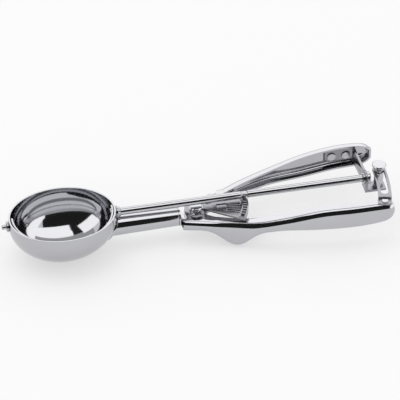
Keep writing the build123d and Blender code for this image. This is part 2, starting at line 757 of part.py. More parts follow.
with BuildPart() as guide_strip:
    with BuildSketch(Plane.XY.offset(rod_z + guide_rise)):
        add(band(guide_inner, guide_outer, -guide_riser_angle, 0))
        with Locations((post_x, 0)):
            Circle(guide_width / 2)
    extrude(amount=guide_thickness)
    with BuildSketch(Plane.XY.offset(lever_top)):
        add(band(guide_inner, guide_outer, -guide_riser_angle - 0.6, -guide_riser_angle))
    extrude(amount=guide_top - lever_top)
    with BuildSketch(Plane.XY.offset(lever_top)):
        add(band(guide_inner, guide_outer, -guide_foot_angle, -guide_riser_angle))
    extrude(amount=guide_thickness)
    with BuildSketch(Plane.XY.offset(rod_z)):
        add(band(post_x - slot_half, post_x + slot_half, -lever_stroke, 0))
        with Locations((post_x, 0)):
            Circle(slot_half)
        with Locations((post_x * cos(radians(lever_stroke)), -post_x * sin(radians(lever_stroke)))):
            Circle(slot_half)
    extrude(amount=rod_z, mode=Mode.SUBTRACT)
    with BuildSketch(Plane.XY.offset(rod_z)):
        with Locations(*guide_rivet_places):
            Circle(guide_rivet_radius + seat_gap)
    extrude(amount=rod_z, mode=Mode.SUBTRACT)
keep(guide_strip.part, "guide_strip")

with BuildPart() as guide_rivet:
    for low, radius, height in (
        (lever_top - sheet - 2 * seat_gap, guide_rivet_radius, sheet + guide_thickness + 3 * seat_gap),
        (lever_top + guide_thickness + seat_gap, guide_rivet_head, rivet_head_height),
        (lever_top - sheet - 2 * seat_gap - rivet_head_height, guide_rivet_head, rivet_head_height),
    ):
        with BuildSketch(Plane.XY.offset(low)):
            with Locations(*guide_rivet_places):
                Circle(radius)
        extrude(amount=height)
keep(guide_rivet.part, "guide_rivet")
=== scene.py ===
"""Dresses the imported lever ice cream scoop: smooth steel pieces, round-wire springs and studio."""

import json
import logging
import math
from collections.abc import Callable
from dataclasses import dataclass
from enum import Enum

import bmesh
import bpy
from mathutils import Matrix, Vector

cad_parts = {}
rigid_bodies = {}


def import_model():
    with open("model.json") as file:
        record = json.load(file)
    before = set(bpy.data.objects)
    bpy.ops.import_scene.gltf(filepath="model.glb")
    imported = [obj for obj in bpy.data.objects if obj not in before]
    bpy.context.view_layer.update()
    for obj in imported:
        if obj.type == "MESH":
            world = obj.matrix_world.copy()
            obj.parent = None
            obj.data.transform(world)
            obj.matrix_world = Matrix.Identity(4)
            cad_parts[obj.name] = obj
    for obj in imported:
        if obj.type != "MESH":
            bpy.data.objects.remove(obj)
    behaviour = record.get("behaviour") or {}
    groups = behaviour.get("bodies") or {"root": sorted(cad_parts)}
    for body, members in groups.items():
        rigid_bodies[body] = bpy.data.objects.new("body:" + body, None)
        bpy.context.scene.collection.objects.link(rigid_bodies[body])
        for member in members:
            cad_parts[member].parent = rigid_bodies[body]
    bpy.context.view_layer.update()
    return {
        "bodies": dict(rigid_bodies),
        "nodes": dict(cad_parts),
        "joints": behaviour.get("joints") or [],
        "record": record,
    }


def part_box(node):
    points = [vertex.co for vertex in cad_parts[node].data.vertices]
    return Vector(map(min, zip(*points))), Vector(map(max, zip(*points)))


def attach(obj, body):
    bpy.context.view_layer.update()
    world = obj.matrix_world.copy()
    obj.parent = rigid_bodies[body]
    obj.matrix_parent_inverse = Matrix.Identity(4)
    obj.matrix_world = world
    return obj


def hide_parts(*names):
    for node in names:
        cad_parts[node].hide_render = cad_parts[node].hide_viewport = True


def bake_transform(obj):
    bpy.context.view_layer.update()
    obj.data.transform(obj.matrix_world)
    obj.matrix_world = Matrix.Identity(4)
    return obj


logging.basicConfig(level=logging.INFO, format="%(name)s: %(message)s")
LOG = logging.getLogger("scoop")

Piece = bpy.types.Object
Point = tuple[float, float, float]
Curve = tuple[tuple[float, float], ...]

# Metres in a millimetre
MM = 0.001
# The rod's height and the bowl's middle along the rod, in millimetres
ROD_Z = 25.0
BOWL_X = -80.0
# The handles' flanges at the pivot, as heights from the rod
FLANGE_TOP = -8.1
FLANGE_BOTTOM = -15.4
# How near counts as the same place, in millimetres
TOUCH = 0.01
# The least angle of a sharp edge, in degrees, on sheet metal and on a handle's channel
SHEET_ANGLE = 40.0
CHANNEL_ANGLE = 50.0
QUARTER_TURN = math.pi / 2
DIAGONAL = math.sqrt(0.5)
WHITE = (1, 1, 1, 1)
# The Mix node's sockets, which share their names and are picked by number
FACTOR, FLOAT_A, FLOAT_B, COLOUR_A, COLOUR_B = 0, 2, 3, 6, 7
COLOUR_RESULT = 2


class Slot(Enum):
    """The record's material slots."""

    POLISHED = "polished_steel"
    PRESSED = "pressed_steel"
    BLADE = "blade_steel"
    SPRING = "spring_steel"
    BUSH = "bush_brass"


class Body(Enum):
    """The bodies that pieces ride on."""

    ROOT = "root"
    WIPER = "wiper"
    LEVER = "lever"


class Side(Enum):
    """The side of the rod that a handle stands on, along Y."""

    FIXED = 1
    LEVER = -1


def linear(colour: str) -> tuple[float, float, float, float]:
    """Turns an sRGB hex colour linear.

    Args:
        colour: Six hex digits after a hash sign.

    Returns:
        The linear red, green, blue and an alpha of one.
    """
    parts = [int(colour[i:i + 2], 16) / 255 for i in (1, 3, 5)]
    flat = [p / 12.92 if p <= 0.04045 else ((p + 0.055) / 1.055) ** 2.4 for p in parts]
    return (*flat, 1.0)


def polar(radius: float, degrees: float) -> tuple[float, float]:
    """The X and Y of a point at a radius and an angle about the lever's pivot."""
    return radius * math.cos(math.radians(degrees)), radius * math.sin(math.radians(degrees))


def smooth_line(points: Curve, x: float) -> float:
    """The height of a smooth curve through the points at x, level beyond both ends.

    Args:
        points: The curve's points, in order of x.
        x: Where to read it.

    Returns:
        The height.
    """
    if x <= points[0][0]:
        return points[0][1]
    if x >= points[-1][0]:
        return points[-1][1]
    inner = [(y1 - y0) / (x1 - x0) for (x0, y0), (x1, y1) in zip(points, points[2:])]
    slopes = [0.0, *inner, 0.0]
    number = next(n for n, (end, _) in enumerate(points[1:]) if x <= end)
    (x0, y0), (x1, y1) = points[number], points[number + 1]
    span = x1 - x0
    t = (x - x0) / span
    return (
        (2 * t**3 - 3 * t**2 + 1) * y0 + (t**3 - 2 * t**2 + t) * span * slopes[number]
        + (-2 * t**3 + 3 * t**2) * y1 + (t**3 - t**2) * span * slopes[number + 1]
    )


def add_node(
    tree: bpy.types.NodeTree, kind: str, links: dict | None = None, **settings: object,
) -> bpy.types.Node:
    """Adds a node with its settings and links.

    Args:
        tree: The material's node tree.
        kind: The node's type name.
        links: An output socket, or a plain value, for each input's name or number.
        **settings: Attributes of the node.

    Returns:
        The new node.
    """
    node = tree.nodes.new(kind)
    for name, value in settings.items():
        setattr(node, name, value)
    for key, value in (links or {}).items():
        if isinstance(value, bpy.types.NodeSocket):
            tree.links.new(value, node.inputs[key])
        else:
            node.inputs[key].default_value = value
    return node


@dataclass(frozen=True)
class SteelFinish:
    """A stainless steel surface: its tone, its gloss, and the marks that its making leaves.

    The gloss is the roughness at its lowest and highest. Smudges are patches left by hands, and
    marks are the lines left by the tool, stretched along an axis by a scale under one.
    """

    name: str
    colour: str
    gloss: tuple[float, float]
    smudge_mm: float
    mark_mm: float
    mark_stretch: Point
    mark_depth_mm: float

    SMUDGE_TONE = 0.93
    SMUDGE_DETAIL = 3.0
    MARK_DETAIL = 2.0
    MARK_SHARE = 0.35
    MARK_STRENGTH = 0.5
    NOISE_LOW = 0.3
    NOISE_HIGH = 0.7

    def material(self) -> bpy.types.Material:
        """Builds the finish as a node material.

        Returns:
            The material, with roughness from smudges and marks, and bump from the marks.
        """
        made = bpy.data.materials.new(self.name)
        made.use_nodes = True
        tree = made.node_tree
        shader = tree.nodes["Principled BSDF"]
        shader.inputs["Metallic"].default_value = 1.0
        clean = linear(self.colour)
        smudged = (*(self.SMUDGE_TONE * part for part in clean[:3]), 1)
        place = add_node(tree, "ShaderNodeTexCoord").outputs["Object"]
        smudge = add_node(
            tree, "ShaderNodeTexNoise",
            {"Vector": place, "Scale": 1 / (self.smudge_mm * MM), "Detail": self.SMUDGE_DETAIL},
        )
        stretched = add_node(
            tree, "ShaderNodeMapping", {"Vector": place, "Scale": self.mark_stretch},
        )
        marks = add_node(
            tree, "ShaderNodeTexNoise",
            {
                "Vector": stretched.outputs[0], "Scale": 1 / (self.mark_mm * MM),
                "Detail": self.MARK_DETAIL,
            },
        )
        both = add_node(
            tree, "ShaderNodeMix",
            {FACTOR: self.MARK_SHARE, FLOAT_A: smudge.outputs[0], FLOAT_B: marks.outputs[0]},
            data_type="FLOAT",
        )
        gloss = add_node(
            tree, "ShaderNodeMapRange",
            {
                "Value": both.outputs[0], "From Min": self.NOISE_LOW, "From Max": self.NOISE_HIGH,
                "To Min": self.gloss[0], "To Max": self.gloss[1],
            },
        )
        tone = add_node(
            tree, "ShaderNodeMix",
            {FACTOR: smudge.outputs[0], COLOUR_A: clean, COLOUR_B: smudged}, data_type="RGBA",
        )
        bump = add_node(
            tree, "ShaderNodeBump",
            {
                "Height": marks.outputs[0], "Strength": self.MARK_STRENGTH,
                "Distance": self.mark_depth_mm * MM,
            },
        )
        tree.links.new(tone.outputs[COLOUR_RESULT], shader.inputs["Base Color"])
        tree.links.new(gloss.outputs[0], shader.inputs["Roughness"])
        tree.links.new(bump.outputs[0], shader.inputs["Normal"])
        return made


# The real marks of these tools are under 0.1 mm wide, and are drawn coarser so that they show.

# 18/10 stainless steel, deep drawn and mirror buffed: near-black and near-white reflections with
# soft edges, and a faint haze along the buffing direction
BUFFED = SteelFinish(
    "buffed_stainless_steel", "#BFBFC3", gloss=(0.045, 0.11), smudge_mm=14.0,
    mark_mm=0.5, mark_stretch=(0.2, 1.0, 1.0), mark_depth_mm=0.0012,
)
# Stainless sheet as rolled and stamped: a duller, greyer skin than the buffed pieces
STAMPED = SteelFinish(
    "stamped_stainless_sheet", "#96969B", gloss=(0.20, 0.34), smudge_mm=8.0,
    mark_mm=0.35, mark_stretch=(1.0, 1.0, 1.0), mark_depth_mm=0.003,
)
# Hard rolled stainless strip: fine lengthwise lines from the rolls
STRIP = SteelFinish(
    "rolled_stainless_strip", "#BCBCC0", gloss=(0.09, 0.18), smudge_mm=9.0,
    mark_mm=0.3, mark_stretch=(0.1, 1.0, 1.0), mark_depth_mm=0.002,
)
# Drawn spring wire: greyer, with a fine grain that blurs what it reflects
WIRE = SteelFinish(
    "drawn_spring_wire", "#A9A9AE", gloss=(0.16, 0.28), smudge_mm=5.0,
    mark_mm=0.3, mark_stretch=(1.0, 1.0, 1.0), mark_depth_mm=0.002,
)
# Lathe-turned bushes: fine rings round the bore
TURNED = SteelFinish(
    "turned_steel_bush", "#AFAFB2", gloss=(0.12, 0.22), smudge_mm=6.0,
    mark_mm=0.25, mark_stretch=(3.0, 0.4, 0.4), mark_depth_mm=0.002,
)
FINISHES = {
    Slot.POLISHED: BUFFED, Slot.PRESSED: STAMPED, Slot.BLADE: STRIP, Slot.SPRING: WIRE,
    Slot.BUSH: TURNED,
}


class Bench:
    """The shared modelling steps, as a maker would do them by hand."""

    MERGE_GAP = 0.002
    PLATE_EDGE = 0.2
    TURNED_ANGLE = 60.0
    TURNED_SEGMENTS = 3

    @staticmethod
    def clear_selection() -> None:
        """Leaves edit mode and deselects everything."""
        if bpy.context.object and bpy.context.object.mode != "OBJECT":
            bpy.ops.object.mode_set(mode="OBJECT")
        bpy.ops.object.select_all(action="DESELECT")

    @staticmethod
    def activate(piece: Piece) -> None:
        """Makes one object the only selected one.

        Args:
            piece: The object to work on.
        """
        Bench.clear_selection()
        piece.select_set(True)
        bpy.context.view_layer.objects.active = piece

    @staticmethod
    def named(name: str) -> Piece:
        """Names the active object and its mesh.

        Args:
            name: The piece's name.

        Returns:
            The object.
        """
        piece = bpy.context.object
        piece.name = name
        piece.data.name = name
        return piece

    @staticmethod
    def settle(piece: Piece) -> None:
        """Puts the object's place into its mesh, so that the object sits at the origin."""
        Bench.activate(piece)
        bpy.ops.object.transform_apply(location=True, rotation=True, scale=True)

    @staticmethod
    def modify(piece: Piece, kind: str, **settings: object) -> None:
        """Adds a modifier and applies it.

        Args:
            piece: The object.
            kind: The modifier's type.
            **settings: The modifier's settings.
        """
        Bench.activate(piece)
        modifier = piece.modifiers.new(kind.lower(), kind)
        for key, value in settings.items():
            setattr(modifier, key, value)
        bpy.ops.object.modifier_apply(modifier=modifier.name)

    @staticmethod
    def thicken(piece: Piece, wall: float) -> None:
        """Gives an outer skin its wall, inwards and in millimetres."""
        Bench.modify(piece, "SOLIDIFY", thickness=wall * MM, offset=-1, use_even_offset=True)

    @staticmethod
    def soften(piece: Piece, width: float, angle: float, segments: int = 2) -> None:
        """Breaks the sharp edges with a small bevel and smooths the rest.

        Args:
            piece: The object.
            width: The bevel's width in millimetres, or zero for none.
            angle: The least angle of a sharp edge, in degrees.
            segments: The bevel's segments.
        """
        if width > 0:
            Bench.modify(
                piece, "BEVEL", width=width * MM, segments=segments, limit_method="ANGLE",
                angle_limit=math.radians(angle), use_clamp_overlap=True,
            )
        Bench.activate(piece)
        bpy.ops.object.shade_smooth_by_angle(angle=math.radians(angle))

    @staticmethod
    def edit(piece: Piece, mode: str = "VERT", whole: bool = False) -> None:
        """Opens edit mode.

        Args:
            piece: The object.
            mode: VERT, EDGE or FACE.
            whole: Whether all of it is selected, and not none of it.
        """
        Bench.activate(piece)
        bpy.ops.object.mode_set(mode="EDIT")
        bpy.ops.mesh.select_mode(type=mode)
        bpy.ops.mesh.select_all(action="SELECT" if whole else "DESELECT")

    @staticmethod
    def leave_edit() -> None:
        """Goes back to object mode."""
        bpy.ops.object.mode_set(mode="OBJECT")

    @staticmethod
    def select_edges(piece: Piece, chosen: Callable[[Vector, Vector], bool]) -> None:
        """Selects the edges that a test picks, from edit mode.

        Args:
            piece: The object in edit mode.
            chosen: A test of an edge's two end points in millimetres.
        """
        mesh = bmesh.from_edit_mesh(piece.data)
        for edge in mesh.edges:
            edge.select_set(bool(chosen(*[v.co / MM for v in edge.verts])))
        bmesh.update_edit_mesh(piece.data)

    @staticmethod
    def cut(piece: Piece, point: Point, normal: Point) -> None:
        """Cuts off what lies on the normal's side of a plane.

        Args:
            piece: The object.
            point: A point of the plane in millimetres.
            normal: The side that goes.
        """
        Bench.edit(piece, whole=True)
        bpy.ops.mesh.bisect(plane_co=Vector(point) * MM, plane_no=normal, clear_outer=True)
        Bench.leave_edit()

    @staticmethod
    def recalculate(piece: Piece) -> None:
        """Merges doubles and turns the faces outwards.

        Args:
            piece: The object.
        """
        Bench.edit(piece, whole=True)
        bpy.ops.mesh.remove_doubles(threshold=Bench.MERGE_GAP * MM)
        bpy.ops.mesh.normals_make_consistent(inside=False)
        Bench.leave_edit()

    @staticmethod
    def join(name: str, pieces: list[Piece]) -> Piece:
        """Joins pieces of one finish into one object.

        Args:
            name: The joined piece's name.
            pieces: The objects.

        Returns:
            The joined object.
        """
        Bench.activate(pieces[0])
        for piece in pieces:
            piece.select_set(True)
        bpy.ops.object.join()
        return Bench.named(name)

    @staticmethod
    def turned(
        name: str, start: Point, end: Point, radius: float, edge: float,
        end_radius: float | None = None, sides: int = 64,
    ) -> Piece:
        """A turned piece between two points, with softened ends.

        Args:
            name: The piece's name.
            start: One end of the axis in millimetres.
            end: The other end.
            radius: The radius at the start.
            edge: The bevel at the ends in millimetres, or zero for none.
            end_radius: The radius at the end, if it differs.
            sides: The number of sides.

        Returns:
            The object.
        """
        axis = Vector(end) - Vector(start)
        Bench.clear_selection()
        bpy.ops.mesh.primitive_cone_add(
            vertices=sides, radius1=radius * MM, radius2=(end_radius or radius) * MM,
            depth=axis.length * MM, location=(Vector(start) + Vector(end)) / 2 * MM,
            rotation=axis.to_track_quat("Z", "Y").to_euler(),
        )
        piece = Bench.named(name)
        Bench.settle(piece)
        Bench.soften(piece, edge, Bench.TURNED_ANGLE, Bench.TURNED_SEGMENTS)
        return piece

    @staticmethod
    def plate(name: str, outline: list[tuple[float, float]], low: float, sheet: float) -> Piece:
        """A level plate with softened edges.

        Args:
            name: The piece's name.
            outline: Its corners seen from above, in millimetres.
            low: Its underside's height.
            sheet: Its thickness.

        Returns:
            The object.
        """
        Bench.clear_selection()
        bpy.ops.mesh.primitive_circle_add(vertices=len(outline), radius=MM, fill_type="NGON")
        piece = Bench.named(name)
        for vertex, (x, y) in zip(piece.data.vertices, outline):
            vertex.co = (x * MM, y * MM, low * MM)
        Bench.edit(piece, "FACE", whole=True)
        bpy.ops.mesh.extrude_region_move(TRANSFORM_OT_translate={"value": (0, 0, sheet * MM)})
        Bench.leave_edit()
        Bench.recalculate(piece)
        Bench.soften(piece, Bench.PLATE_EDGE, SHEET_ANGLE)
        return piece


class Dressing:
    """Gives pieces their finish by slot and their body, and hides the nodes they stand for."""

    MERGE_GAP = 0.001
    FLAT_ANGLE = 0.6
    NODE_ANGLE = 32.0

    def __init__(self, frame: dict) -> None:
        """Makes the materials.
        """
        self.nodes = frame["nodes"]
        self.materials = {slot: finish.material() for slot, finish in FINISHES.items()}

    def finish(self, piece: Piece, slot: Slot, body: Body | None, *nodes: str) -> Piece:
        """Finishes a piece.

        Args:
            piece: The object.
            slot: The record's slot.
            body: The body it rides on, or nothing for a piece that is left on no body.
            *nodes: The CAD nodes that it stands for.

        Returns:
            The same object.
        """
        piece.data.materials.clear()
        piece.data.materials.append(self.materials[slot])
        if nodes:
            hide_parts(*nodes)
        if body:
            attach(piece, body.value)
        rides = body.value if body else "two bodies"
        LOG.info("%s on %s, %d faces", piece.name, rides, len(piece.data.polygons))
        return piece

    def copied(self, name: str, node: str) -> Piece:
        """A copy of a CAD node's mesh as a new object.

        Args:
            name: The copy's name.
            node: The CAD node.

        Returns:
            The copy.
        """
        piece = bpy.data.objects.new(name, self.nodes[node].data.copy())
        bpy.context.scene.collection.objects.link(piece)
        return piece

    def softened_copy(self, node: str, slot: Slot, body: Body, width: float) -> Piece:
        """A merged copy of a CAD node with its edges broken, in place of the node.

        Args:
            node: The CAD node.
            slot: The record's slot.
            body: The body it rides on.
            width: The bevel's width in millimetres.

        Returns:
            The new piece.
        """
        piece = self.copied(f"{node}_softened", node)
        Bench.edit(piece, whole=True)
        bpy.ops.mesh.remove_doubles(threshold=self.MERGE_GAP * MM)
        bpy.ops.mesh.dissolve_limited(angle_limit=math.radians(self.FLAT_ANGLE))
        Bench.leave_edit()
        if piece.data.has_custom_normals:
            bpy.ops.mesh.customdata_custom_splitnormals_clear()
        Bench.soften(piece, width, self.NODE_ANGLE)
        return self.finish(piece, slot, body, node)


@dataclass(frozen=True)
class Card:
    """A card that only polished metal sees, which gives it a dark or a bright reflection.

    Its centre, width and height are in metres. Its tone is how bright it looks, where 1 is white.
    Facing is the direction behind it, or nothing for a card that faces the scoop.
    """

    name: str
    place: Point
    size: tuple[float, float]
    tone: float
    facing: Point | None = None

    def build(self) -> None:
        """Hangs the card, hidden from all but reflections."""
        turn = Vector(self.facing or self.place).to_track_quat("Z", "Y").to_euler()
        Bench.clear_selection()
        bpy.ops.mesh.primitive_plane_add(size=1, location=self.place, rotation=turn)
        card = Bench.named(self.name)
        card.scale = (*self.size, 1)
        made = bpy.data.materials.new(self.name)
        made.use_nodes = True
        tree = made.node_tree
        tree.nodes.remove(tree.nodes["Principled BSDF"])
        glow = add_node(tree, "ShaderNodeEmission", {"Color": WHITE, "Strength": self.tone})
        tree.links.new(glow.outputs[0], tree.nodes["Material Output"].inputs[0])
        card.data.materials.append(made)
        card.visible_camera = card.visible_diffuse = card.visible_shadow = False


BRIGHT, GREY, BLACK = 1.65, 0.5, 0.02
LEVEL, UPRIGHT = (0, 0, 1), (1, 0, 0)
CARDS = (
    Card("back_card", (0.1, 1.05, 1.0), (2.8, 1.2), BRIGHT),
    Card("top_card", (0.6, -0.38, 1.5), (2.0, 0.98), BRIGHT, LEVEL),
    Card("right_card", (1.6, -1.5, 0.79), (4.0, 1.42), BRIGHT, UPRIGHT),
    Card("left_card", (-1.15, -0.22, 0.93), (0.8, 1.1), BRIGHT),
    Card("gap_flag", (0.0, 0.71, 1.6), (4.0, 1.2), GREY, LEVEL),
    Card("front_flag", (-0.633, -1.948, 1.6), (5.4, 3.78), BLACK),
    Card("corner_flag", (-1.6, -0.5, 2.2), (2.0, 1.4), BLACK, LEVEL),
)


@dataclass
class Studio:
    """Camera, lamp, floor and the cards that draw bright and dark lines in polished steel.

    The view's width and centre are in millimetres, and the rest of the studio in metres. The fill
    is the world's level for matt surfaces. What sees the paper sees it glow by itself and add the
    scoop's shadow to that.
    """

    azimuth: float = -12.0
    elevation: float = 40.0
    lens: float = 250.0
    view_width: float = 236.1
    centre_right: float = 2.36
    centre_up: float = 0.59
    clip_end: float = 20.0
    lamp_place: Point = (-0.5, 0.3, 2.4)
    lamp_size: tuple[float, float] = (1.6, 1.4)
    lamp_radiance: float = 1.2
    fill: float = 0.86
    paper: str = "#FAFAFB"
    paper_roughness: float = 0.95
    paper_specular: float = 0.1
    paper_glow: float = 0.45
    paper_shade: float = 0.53
    floor_size: float = 12.0
    floor_drop_mm: float = 0.02

    def axes(self) -> tuple[Vector, Vector, Vector]:
        """The camera's right, up and towards-camera directions.

        Returns:
            Three unit vectors.
        """
        turn, rise = math.radians(self.azimuth), math.radians(self.elevation)
        right = Vector((math.cos(turn), math.sin(turn), 0))
        flat = Vector((math.sin(turn), -math.cos(turn), 0))
        towards = flat * math.cos(rise) + Vector((0, 0, math.sin(rise)))
        return right, towards.cross(right), towards

    def camera(self) -> None:
        """Places the camera at the viewing angle and frame."""
        right, up, towards = self.axes()
        target = Vector((0, 0, ROD_Z)) + right * self.centre_right + up * self.centre_up
        data = bpy.data.cameras.new("studio_camera")
        data.lens = self.lens
        data.clip_end = self.clip_end
        camera = bpy.data.objects.new("studio_camera", data)
        bpy.context.scene.collection.objects.link(camera)
        distance = self.view_width * self.lens / data.sensor_width
        camera.matrix_world = Matrix((
            (right.x, up.x, towards.x, 0), (right.y, up.y, towards.y, 0),
            (right.z, up.z, towards.z, 0), (0, 0, 0, 1),
        ))
        camera.location = (target + towards * distance) * MM
        bpy.context.scene.camera = camera

    def lamp(self) -> None:
        """Hangs the softbox, which faces the scoop and whose radiance is 1 for white."""
        width, height = self.lamp_size
        data = bpy.data.lights.new("top_softbox", "AREA")
        data.shape = "RECTANGLE"
        data.size, data.size_y = width, height
        data.energy = self.lamp_radiance * math.pi * width * height
        lamp = bpy.data.objects.new("top_softbox", data)
        bpy.context.scene.collection.objects.link(lamp)
        lamp.location = self.lamp_place
        lamp.rotation_euler = Vector(self.lamp_place).to_track_quat("Z", "Y").to_euler()

    def floor(self) -> None:
        """Lays a pale paper floor that keeps the scoop's shadow."""
        Bench.clear_selection()
        bpy.ops.mesh.primitive_plane_add(
            size=self.floor_size, location=(0, 0, -self.floor_drop_mm * MM),
        )
        paper = Bench.named("paper_floor")
        made = bpy.data.materials.new("matt_studio_paper")
        made.use_nodes = True
        tree = made.node_tree
        matt = tree.nodes["Principled BSDF"]
        matt.inputs["Base Color"].default_value = linear(self.paper)
        matt.inputs["Roughness"].default_value = self.paper_roughness
        matt.inputs["Specular IOR Level"].default_value = self.paper_specular
        glow = add_node(tree, "ShaderNodeEmission", {"Color": WHITE, "Strength": self.paper_glow})
        shade = add_node(tree, "ShaderNodeBsdfDiffuse", {"Color": (*[self.paper_shade] * 3, 1)})
        lifted = add_node(tree, "ShaderNodeAddShader", {0: glow.outputs[0], 1: shade.outputs[0]})
        mixed = add_node(
            tree, "ShaderNodeMixShader",
            {0: self.seen(tree), 1: matt.outputs[0], 2: lifted.outputs[0]},
        )
        tree.links.new(mixed.outputs[0], tree.nodes["Material Output"].inputs[0])
        paper.data.materials.append(made)

    def seen(self, tree: bpy.types.NodeTree) -> bpy.types.NodeSocket:
        """Camera, glossy and transmission rays together.

        Args:
            tree: The node tree.

        Returns:
            A socket that is one for those rays.
        """
        rays = add_node(tree, "ShaderNodeLightPath").outputs
        first = add_node(
            tree, "ShaderNodeMath", {0: rays["Is Camera Ray"], 1: rays["Is Glossy Ray"]},
            operation="MAXIMUM",
        )
        both = add_node(
            tree, "ShaderNodeMath", {0: first.outputs[0], 1: rays["Is Transmission Ray"]},
            operation="MAXIMUM",
        )
        return both.outputs[0]

    def world(self) -> None:
        """A white surround for what sees it, and a slightly lower even fill for matt surfaces."""
        world = bpy.data.worlds.new("studio")
        world.use_nodes = True
        bpy.context.scene.world = world
        tree = world.node_tree
        fill = add_node(tree, "ShaderNodeBackground", {"Color": WHITE, "Strength": self.fill})
        white = add_node(tree, "ShaderNodeBackground", {"Color": WHITE, "Strength": 1.0})
        mixed = add_node(
            tree, "ShaderNodeMixShader",
            {0: self.seen(tree), 1: fill.outputs[0], 2: white.outputs[0]},
        )
        tree.links.new(mixed.outputs[0], tree.nodes["World Output"].inputs[0])

    def build(self) -> None:
        """Builds the whole studio."""
        bpy.context.scene.view_settings.view_transform = "Standard"
        self.camera()
        self.world()
        self.floor()
        self.lamp()
        for card in CARDS:
            card.build()


@dataclass(frozen=True)
class Station:
    """A handle's measures at one place along the rod, in millimetres.

    They are the Y of the web's outer face, the heights of top and bottom, and how far the flanges
    reach in from the web.
    """

    web: float
    top: float
    bottom: float
    depth: float


@dataclass
class HandleChannel:
    """A handle: a pressed channel with rounded bends, open towards the rod, closed at the rear.

    The curves give the web's distance from the rod, and the heights of top and bottom above the
    rod, for places along it. From end_start on, the flanges' free edge runs straight, drawn in by
    end_trim. The peg holds the return spring, peg_drop under the rod, and its seat is the share of
    the sheet that lies outside its foot.
    """

    side: Side
    front_x: float
    plan: Curve
    top: Curve
    bottom: Curve
    depth: float
    step: float
    end_round: float
    end_trim: float = 0.0
    end_x: float = 113.4
    end_start: float = 105.4
    end_step: float = 0.8
    end_segments: int = 5
    sheet: float = 1.2
    bend: float = 3.5
    bend_segments: int = 7
    edge: float = 0.3
    edge_segments: int = 3
    peg_x: float = 26.5
    peg_drop: float = 10.6
    peg_radius: float = 1.1
    peg_length: float = 4.0
    peg_seat: float = 0.9
    peg_edge: float = 0.25

    def web_at(self, x: float) -> float:
        """The Y of the web's outer face at x."""
        return self.side.value * smooth_line(self.plan, x)

    def station(self, x: float) -> Station:
        """The channel's measures at x.

        Args:
            x: The place along the rod in millimetres.

        Returns:
            The measures.
        """
        web, depth = self.web_at(x), self.depth
        if x > self.end_start:
            trim = self.end_trim * (x - self.end_start) / (self.end_x - self.end_start)
            depth = self.depth - trim - abs(self.web_at(self.end_start)) + abs(web)
        return Station(
            web, ROD_Z + smooth_line(self.top, x), ROD_Z + smooth_line(self.bottom, x), depth,
        )

    def on_free_edge(self, at: Station, a: Vector, b: Vector) -> bool:
        """Whether the mesh edge from a to b lies along the flanges' free edge at a station."""
        free = at.web - self.side.value * at.depth
        return abs(a.y - free) < TOUCH and abs(b.y - free) < TOUCH

    def section(self, name: str) -> Piece:
        """The channel's open section at the front, with its two bends rounded.

        Args:
            name: The piece's name.

        Returns:
            A wire of the section, in edit mode.
        """
        front = self.station(self.front_x)
        free = front.web - self.side.value * front.depth
        middle = ((front.web + free) / 2 * MM, (front.top + front.bottom) / 2 * MM)
        Bench.clear_selection()
        bpy.ops.mesh.primitive_plane_add(
            size=1, location=(self.front_x * MM, *middle), rotation=(0, QUARTER_TURN, 0),
        )
        piece = Bench.named(name)
        piece.scale = ((front.top - front.bottom) * MM, front.depth * MM, 1)
        Bench.settle(piece)
        Bench.edit(piece, "EDGE")
        Bench.select_edges(piece, lambda a, b: self.on_free_edge(front, a, b))
        bpy.ops.mesh.delete(type="EDGE_FACE")
        bpy.ops.mesh.select_mode(type="VERT")
        bpy.ops.mesh.select_all(action="DESELECT")
        mesh = bmesh.from_edit_mesh(piece.data)
        for vertex in mesh.verts:
            vertex.select_set(abs(vertex.co.y / MM - front.web) < TOUCH)
        bmesh.update_edit_mesh(piece.data)
        bpy.ops.mesh.bevel(
            affect="VERTICES", offset=self.bend * MM, segments=self.bend_segments,
            offset_type="OFFSET",
        )
        return piece

    def fit(self, piece: Piece, here: Station, there: Station) -> None:
        """Fits a newly drawn section: the upper bend stretches with the height, the lower stays.

        Args:
            piece: The channel, in edit mode with the new section selected.
            here: The measures that the section still has.
            there: The measures that it gets.
        """
        front = self.station(self.front_x)
        upper_bend = self.bend * (here.top - here.bottom) / (front.top - front.bottom)
        split = (here.top - upper_bend + here.bottom + self.bend) / 2 * MM
        stretch = (there.top - there.bottom) / (here.top - here.bottom)
        web = there.web * MM
        mesh = bmesh.from_edit_mesh(piece.data)
        for vertex in (v for v in mesh.verts if v.select):
            vertex.co.y = web - (web - vertex.co.y) * there.depth / here.depth
            if vertex.co.z > split:
                vertex.co.z = there.top * MM - (here.top * MM - vertex.co.z) * stretch
            else:
                vertex.co.z += (there.bottom - here.bottom) * MM
        bmesh.update_edit_mesh(piece.data)

    def sweep(self, piece: Piece) -> None:
        """Draws the section along the handle.

        Args:
            piece: The section, in edit mode.
        """
        bpy.ops.mesh.select_all(action="SELECT")
        x = self.front_x
        here = self.station(x)
        while x < self.end_x - TOUCH:
            step = min(self.step if x < self.end_start else self.end_step, self.end_x - x)
            x += step
            there = self.station(x)
            bpy.ops.mesh.extrude_edges_move(
                TRANSFORM_OT_translate={"value": (step * MM, (there.web - here.web) * MM, 0)},
            )
            self.fit(piece, here, there)
            here = there

    def close_end(self, piece: Piece) -> None:
        """Closes the rear end with a wall that is rounded into the web and the flanges.

        Args:
            piece: The channel, in edit mode with its last section selected.
        """
        rear = self.station(self.end_x)
        bpy.ops.mesh.edge_face_add()
        Bench.select_edges(
            piece,
            lambda a, b: min(a.x, b.x) > self.end_x - TOUCH and not self.on_free_edge(rear, a, b),
        )
        bpy.ops.mesh.bevel(affect="EDGES", offset=self.end_round * MM, segments=self.end_segments)
        Bench.leave_edit()

